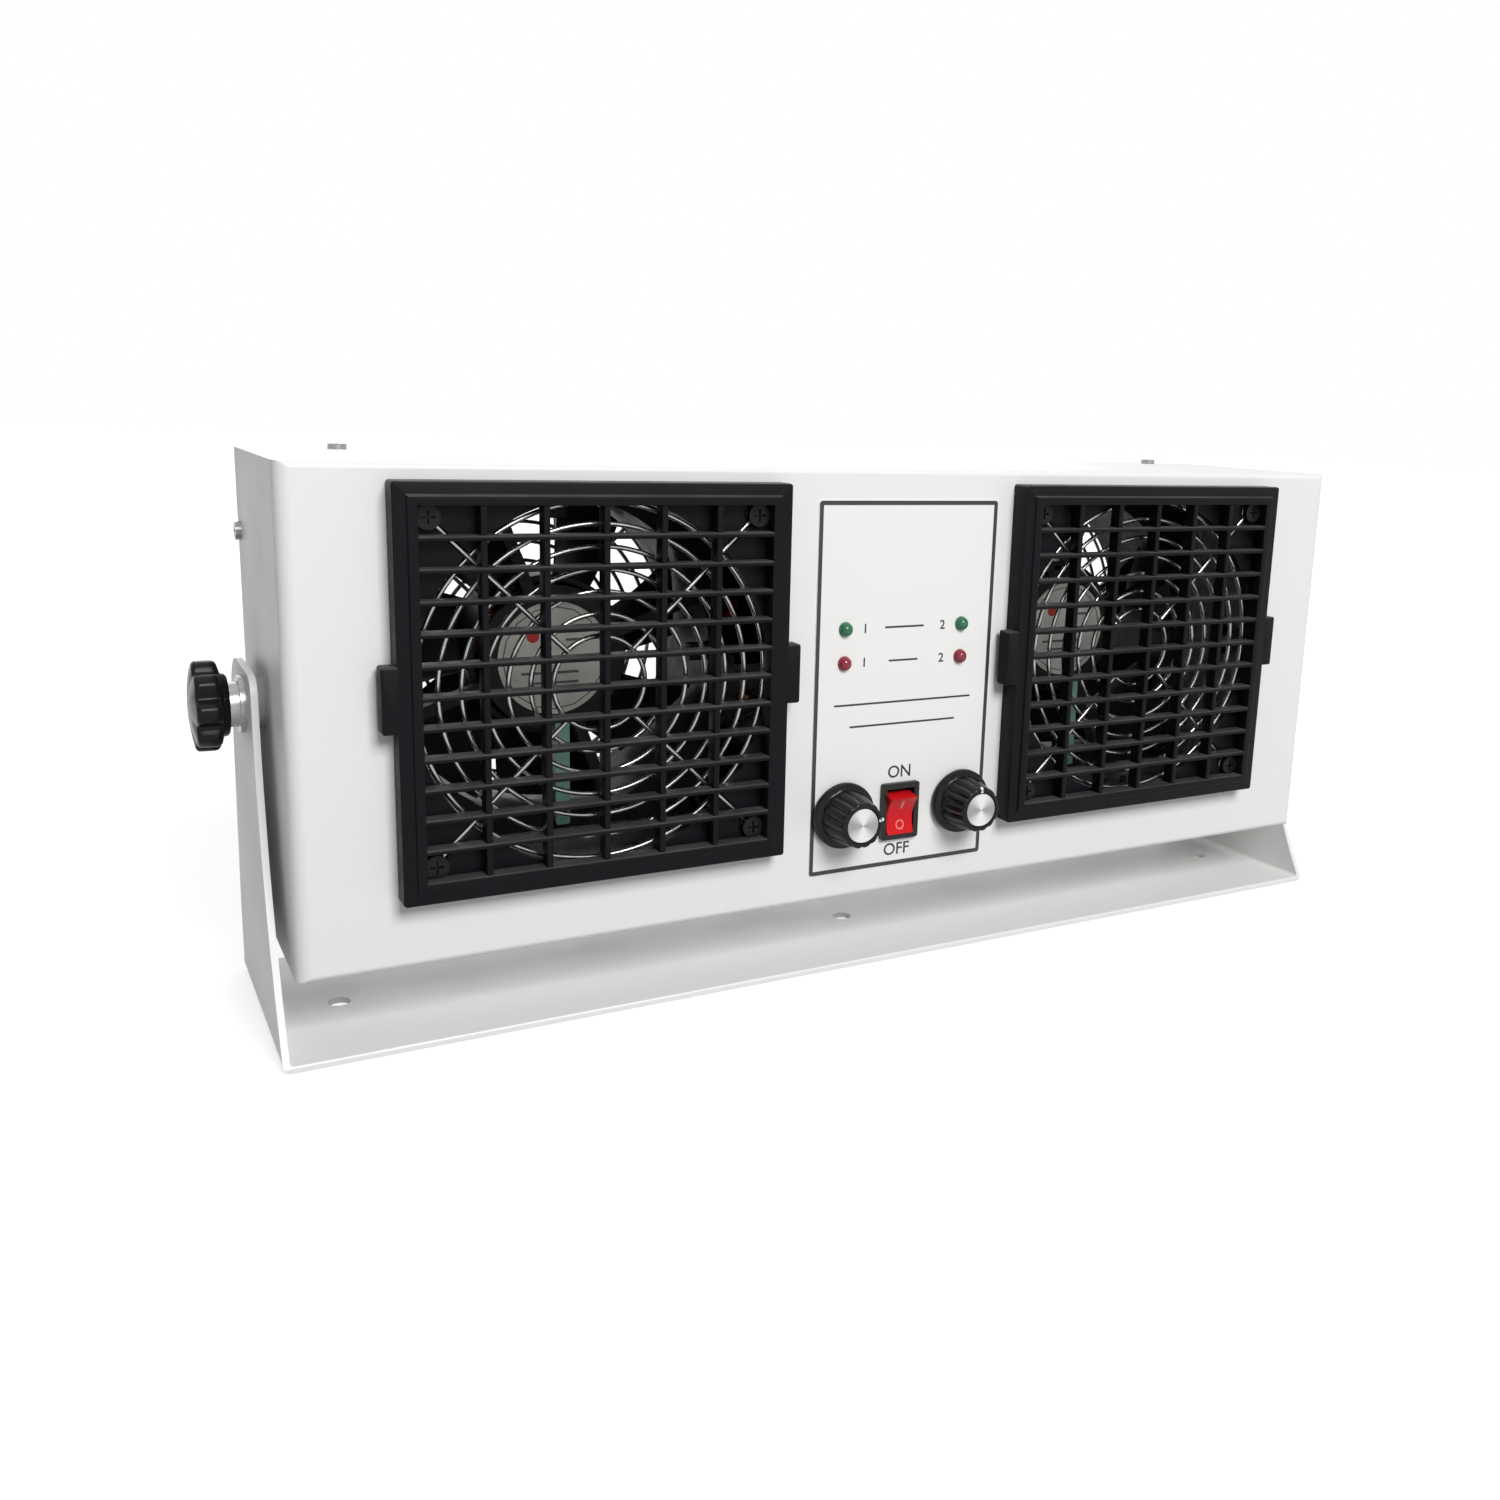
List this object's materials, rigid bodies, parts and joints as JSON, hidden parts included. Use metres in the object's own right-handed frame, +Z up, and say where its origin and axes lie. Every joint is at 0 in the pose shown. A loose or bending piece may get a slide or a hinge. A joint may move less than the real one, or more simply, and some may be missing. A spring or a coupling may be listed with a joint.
{
  "type": "ionizing air blower",
  "caption": "Benchtop ionizing air blower: twin fans behind clip-on louvres and a control panel, in a white sheet-metal case that tilts in a U-shaped yoke.",
  "frame": {"origin": "middle fixing hole of the yoke's base, on its underside, at the centre of the line of three holes", "axes": "+X to the right as seen from the outlet side, +Y from the outlet side towards the rear, +Z up"},
  "size_m": [0.453, 0.1044, 0.1803],
  "materials": {
    "white_powder_coat": "fine smooth white powder coat",
    "panel_film": "satin printed film",
    "black_louvre": "black moulded plastic, fine texture",
    "fan_black": "black glass-filled plastic",
    "knob_black": "semi-gloss black plastic",
    "tilt_knob_black": "black moulded plastic",
    "chrome_wire": "bright plated wire",
    "zinc_steel": "zinc-plated steel",
    "black_steel": "black oxide finish",
    "spun_aluminium": "spun finish",
    "red_plastic": "gloss red",
    "switch_black": "gloss black",
    "green_lamp": "diffused green resin",
    "red_lamp": "diffused red resin",
    "fan_label": "bare grey label",
    "insulator": "grey-green insulating plastic",
    "brass": "plain brass",
    "board_green": "solder-masked glass laminate",
    "potting_black": "cast resin in a black shell",
    "lamination_steel": "stacked laminations",
    "copper_winding": "enamelled copper",
    "wire_brown": "soft jacket",
    "wire_red": "silicone jacket",
    "wire_grey": "soft jacket",
    "friction_fibre": "pressed fibre"
  },
  "bodies": {
    "yoke": {"mounting_bracket": "white_powder_coat"},
    "case": {"front_shell": "white_powder_coat", "rear_cover": "white_powder_coat", "cover_screws": "zinc_steel", "pivot_nuts": "zinc_steel", "pivot_spacers": "friction_fibre", "tilt_washers": "zinc_steel", "panel_overlay": "panel_film", "green_leds": "green_lamp", "red_leds": "red_lamp", "led_clips": "switch_black", "rocker_bezel": "switch_black", "rocker_terminals": "brass", "potentiometers": "zinc_steel", "pot_nuts": "zinc_steel", "control_board": "board_green", "board_standoffs": "brass", "hv_supply": "potting_black", "transformer_core": "lamination_steel", "transformer_winding": "copper_winding", "inlet_housing": "switch_black", "inlet_pins": "brass", "earth_stud": "brass", "mains_wires": "wire_brown", "hv_leads": "wire_red", "fan_leads": "wire_grey", "emitter_plate_left": "fan_black", "emitter_plate_right": "fan_black", "emitter_bars": "insulator", "emitter_needles": "zinc_steel", "fan_frame_left": "fan_black", "fan_frame_right": "fan_black", "fan_stators": "copper_winding", "fan_labels": "fan_label", "fan_bearings": "zinc_steel", "front_guard_left": "chrome_wire", "front_guard_right": "chrome_wire", "rear_guard_left": "chrome_wire", "rear_guard_right": "chrome_wire", "filter_base_left": "black_louvre", "filter_base_right": "black_louvre", "guard_screws": "black_steel", "guard_nuts": "zinc_steel"},
    "left_tilt_knob": {"tilt_knob_left": "tilt_knob_black", "tilt_stud_left": "zinc_steel"},
    "right_tilt_knob": {"tilt_knob_right": "tilt_knob_black", "tilt_stud_right": "zinc_steel"},
    "left_fan_rotor": {"fan_impeller_left": "fan_black", "fan_shaft_left": "zinc_steel"},
    "right_fan_rotor": {"fan_impeller_right": "fan_black", "fan_shaft_right": "zinc_steel"},
    "left_filter_cover": {"filter_cover_left": "black_louvre"},
    "right_filter_cover": {"filter_cover_right": "black_louvre"},
    "left_dial": {"speed_knob": "knob_black", "speed_knob_cap": "spun_aluminium", "speed_pot_shaft": "spun_aluminium"},
    "right_dial": {"balance_knob": "knob_black", "balance_knob_cap": "spun_aluminium", "balance_pot_shaft": "spun_aluminium"},
    "rocker": {"power_rocker": "red_plastic"}
  },
  "joints": [
    {"name": "case_tilt", "type": "hinge", "parent": "yoke", "child": "case", "pos_m": [0, 0.007, 0.102], "axis": [1, 0, 0], "range_deg": [-90, 90]},
    {"name": "left_tilt_knob_turn", "type": "hinge", "parent": "case", "child": "left_tilt_knob", "pos_m": [0, 0.007, 0.102], "axis": [-1, 0, 0], "range_deg": [-360, 0]},
    {"name": "right_tilt_knob_turn", "type": "hinge", "parent": "case", "child": "right_tilt_knob", "pos_m": [0, 0.007, 0.102], "axis": [1, 0, 0], "range_deg": [0, 360]},
    {"name": "left_fan_spin", "type": "hinge", "parent": "case", "child": "left_fan_rotor", "pos_m": [-0.113, 0.025, 0.1107], "axis": [0, 1, 0], "continuous": true},
    {"name": "right_fan_spin", "type": "hinge", "parent": "case", "child": "right_fan_rotor", "pos_m": [0.107, 0.025, 0.1107], "axis": [0, 1, 0], "continuous": true},
    {"name": "left_filter_cover_pull", "type": "slide", "parent": "case", "child": "left_filter_cover", "axis": [0, -1, 0], "range_m": [0, 0.03]},
    {"name": "right_filter_cover_pull", "type": "slide", "parent": "case", "child": "right_filter_cover", "axis": [0, -1, 0], "range_m": [0, 0.03]},
    {"name": "left_dial_turn", "type": "hinge", "parent": "case", "child": "left_dial", "pos_m": [-0.0235, -0.044, 0.057], "axis": [0, 1, 0], "range_deg": [-240, 60]},
    {"name": "right_dial_turn", "type": "hinge", "parent": "case", "child": "right_dial", "pos_m": [0.026, -0.044, 0.057], "axis": [0, 1, 0], "range_deg": [-150, 150]},
    {"name": "rocker_tilt", "type": "hinge", "parent": "case", "child": "rocker", "pos_m": [0, -0.034, 0.056], "axis": [1, 0, 0], "range_deg": [-20, 0]}
  ]
}
